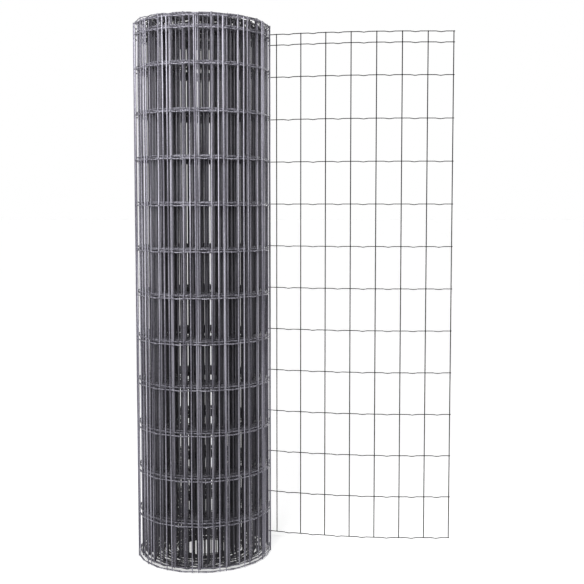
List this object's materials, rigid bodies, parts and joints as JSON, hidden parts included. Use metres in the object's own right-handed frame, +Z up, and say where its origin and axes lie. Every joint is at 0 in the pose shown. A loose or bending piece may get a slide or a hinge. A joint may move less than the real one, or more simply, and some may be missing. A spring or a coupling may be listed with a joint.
{
  "type": "wire fencing roll",
  "caption": "Standing roll of welded wire fencing with a bore down its middle and a short flat loose end.",
  "frame": {"origin": "centre of the roll's bore, at the end that it stands on", "axes": "+Z up along the roll's axis, +X along the straight part of the loose end towards its free edge, +Y towards the side where the loose end leaves the roll"},
  "size_m": [0.7506, 0.3198, 1.2332],
  "materials": {
    "galvanised_wire": "dull galvanised"
  },
  "bodies": {
    "root": {"fence_roll": "galvanised_wire"}
  },
  "joints": []
}
